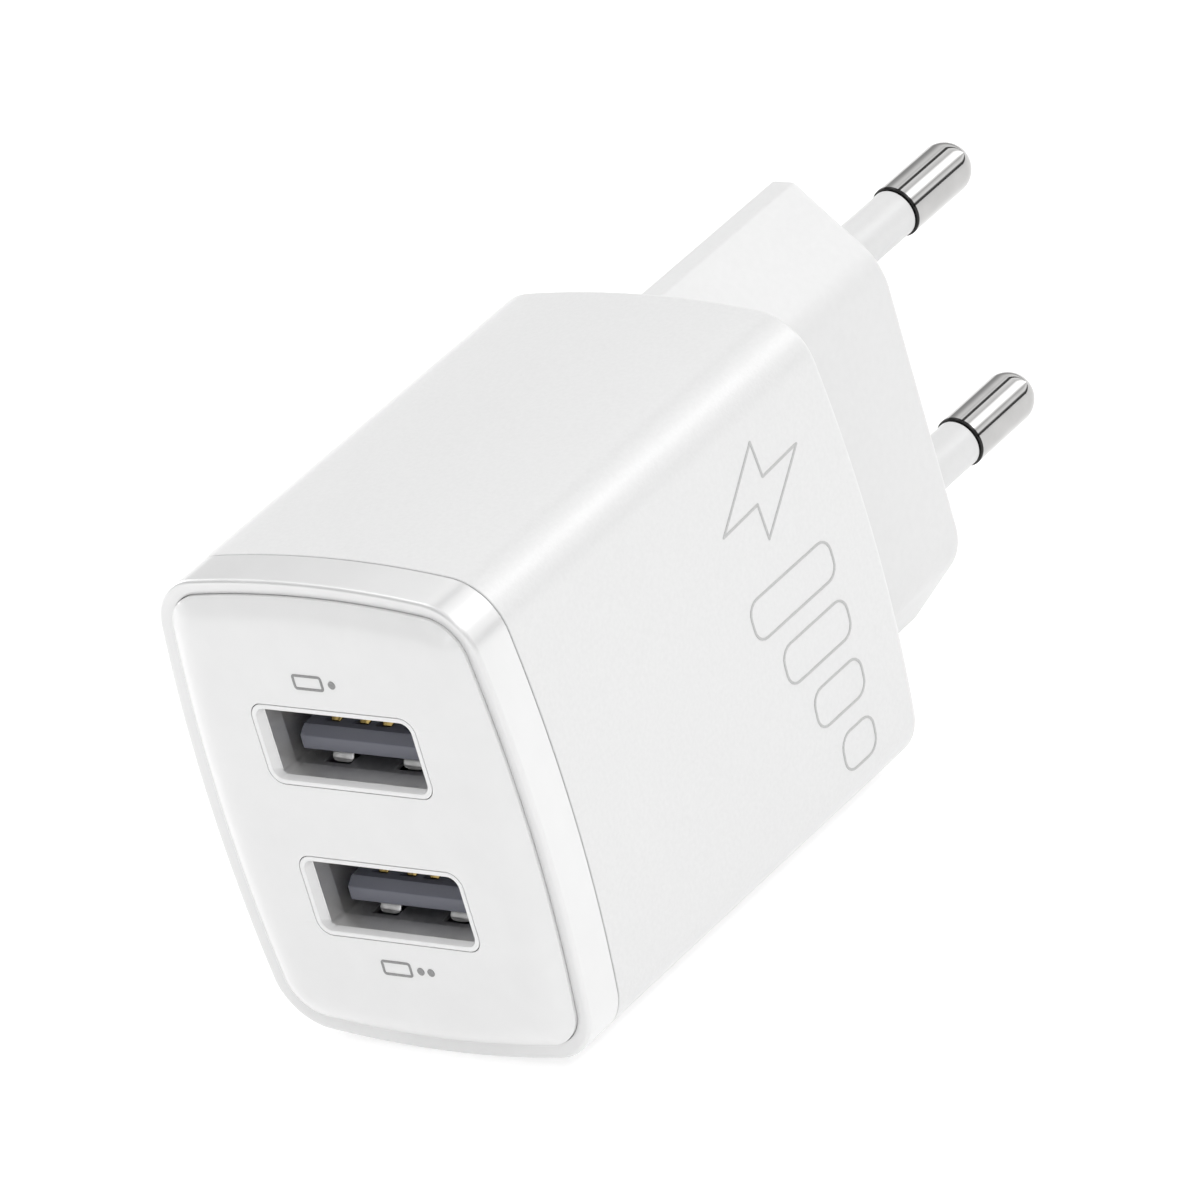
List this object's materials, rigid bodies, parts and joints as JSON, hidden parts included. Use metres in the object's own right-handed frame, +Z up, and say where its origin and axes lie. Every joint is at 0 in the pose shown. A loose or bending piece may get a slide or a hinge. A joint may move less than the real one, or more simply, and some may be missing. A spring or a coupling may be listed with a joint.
{
  "type": "usb wall charger",
  "caption": "Compact mains wall charger with two stacked USB-A sockets in a crowned front panel and two round pins on a slim plug block.",
  "frame": {"origin": "centre of the plug block's face, midway between the two pins", "axes": "+Y out of the plug face along the pins, +Z up along the line from the lower pin to the upper pin, +X across"},
  "size_m": [0.0296, 0.0787, 0.0372],
  "materials": {
    "sleeve_white": "fine matte grain",
    "ring_gloss": "gloss",
    "panel_gloss": "satin gloss",
    "frame_white": "satin gloss",
    "plug_white": "satin",
    "pin_sleeve_white": "satin",
    "pin_nickel": "polished",
    "socket_steel": "satin",
    "spring_steel": "bright",
    "tongue_slate": "satin",
    "contact_gold": "polished",
    "ink_grey": "printed",
    "line_grey": "printed",
    "board_green": "solder mask",
    "strip_brass": "satin",
    "sheet_white": "paper",
    "ferrite": "matte",
    "bobbin_black": "moulded",
    "winding_copper": "enamelled",
    "tape_yellow": "satin",
    "capacitor_navy": "shrink sleeve",
    "capacitor_green": "shrink sleeve",
    "disc_blue": "dipped resin",
    "choke_black": "shrink sleeve",
    "resistor_tan": "lacquer",
    "chip_black": "moulded epoxy",
    "chip_tan": "ceramic"
  },
  "bodies": {
    "charger": {"main_shell": "sleeve_white", "side_mark": "line_grey", "front_ring": "ring_gloss", "front_panel": "panel_gloss", "port_marks": "ink_grey", "port_frame_upper": "frame_white", "port_frame_lower": "frame_white", "plug_block": "plug_white", "pin_upper": "pin_nickel", "pin_lower": "pin_nickel", "sleeve_upper": "pin_sleeve_white", "sleeve_lower": "pin_sleeve_white", "pin_contact_upper": "strip_brass", "pin_contact_lower": "strip_brass", "usb_shell_upper": "socket_steel", "usb_tongue_upper": "tongue_slate", "usb_contact_tails_upper": "contact_gold", "usb_shell_lower": "socket_steel", "usb_tongue_lower": "tongue_slate", "usb_contact_tails_lower": "contact_gold", "usb_board": "board_green", "board_link_pins": "strip_brass", "main_board": "board_green", "insulation_sheet": "sheet_white", "transformer_core": "ferrite", "transformer_bobbin": "bobbin_black", "transformer_winding": "winding_copper", "transformer_tape": "tape_yellow", "bulk_capacitors": "capacitor_navy", "output_capacitors": "capacitor_green", "y_capacitor": "disc_blue", "input_choke": "choke_black", "fuse_resistor": "resistor_tan", "bridge_rectifier": "chip_black", "control_ic": "chip_black", "output_rectifier": "chip_black", "chip_parts": "chip_tan"},
    "floor_springs_upper": {"usb_floor_springs_upper": "spring_steel"},
    "roof_springs_upper": {"usb_roof_springs_upper": "spring_steel"},
    "contacts_upper": {"usb_contacts_upper": "contact_gold"},
    "floor_springs_lower": {"usb_floor_springs_lower": "spring_steel"},
    "roof_springs_lower": {"usb_roof_springs_lower": "spring_steel"},
    "contacts_lower": {"usb_contacts_lower": "contact_gold"}
  },
  "joints": [
    {"name": "floor_spring_press_upper", "type": "hinge", "parent": "charger", "child": "floor_springs_upper", "pos_m": [0, -0.0497, 0.00325], "axis": [1, 0, 0], "range_deg": [0, 4.5], "stiffness_Nm_per_rad": 0.02},
    {"name": "roof_spring_press_upper", "type": "hinge", "parent": "charger", "child": "roof_springs_upper", "pos_m": [0, -0.0497, 0.00885], "axis": [-1, 0, 0], "range_deg": [0, 4.5], "stiffness_Nm_per_rad": 0.02},
    {"name": "contact_press_upper", "type": "hinge", "parent": "charger", "child": "contacts_upper", "pos_m": [0, -0.0492, 0.00588], "axis": [1, 0, 0], "range_deg": [0, 3], "stiffness_Nm_per_rad": 0.02},
    {"name": "floor_spring_press_lower", "type": "hinge", "parent": "charger", "child": "floor_springs_lower", "pos_m": [0, -0.0497, -0.00885], "axis": [1, 0, 0], "range_deg": [0, 4.5], "stiffness_Nm_per_rad": 0.02},
    {"name": "roof_spring_press_lower", "type": "hinge", "parent": "charger", "child": "roof_springs_lower", "pos_m": [0, -0.0497, -0.00325], "axis": [-1, 0, 0], "range_deg": [0, 4.5], "stiffness_Nm_per_rad": 0.02},
    {"name": "contact_press_lower", "type": "hinge", "parent": "charger", "child": "contacts_lower", "pos_m": [0, -0.0492, -0.00622], "axis": [1, 0, 0], "range_deg": [0, 3], "stiffness_Nm_per_rad": 0.02}
  ]
}
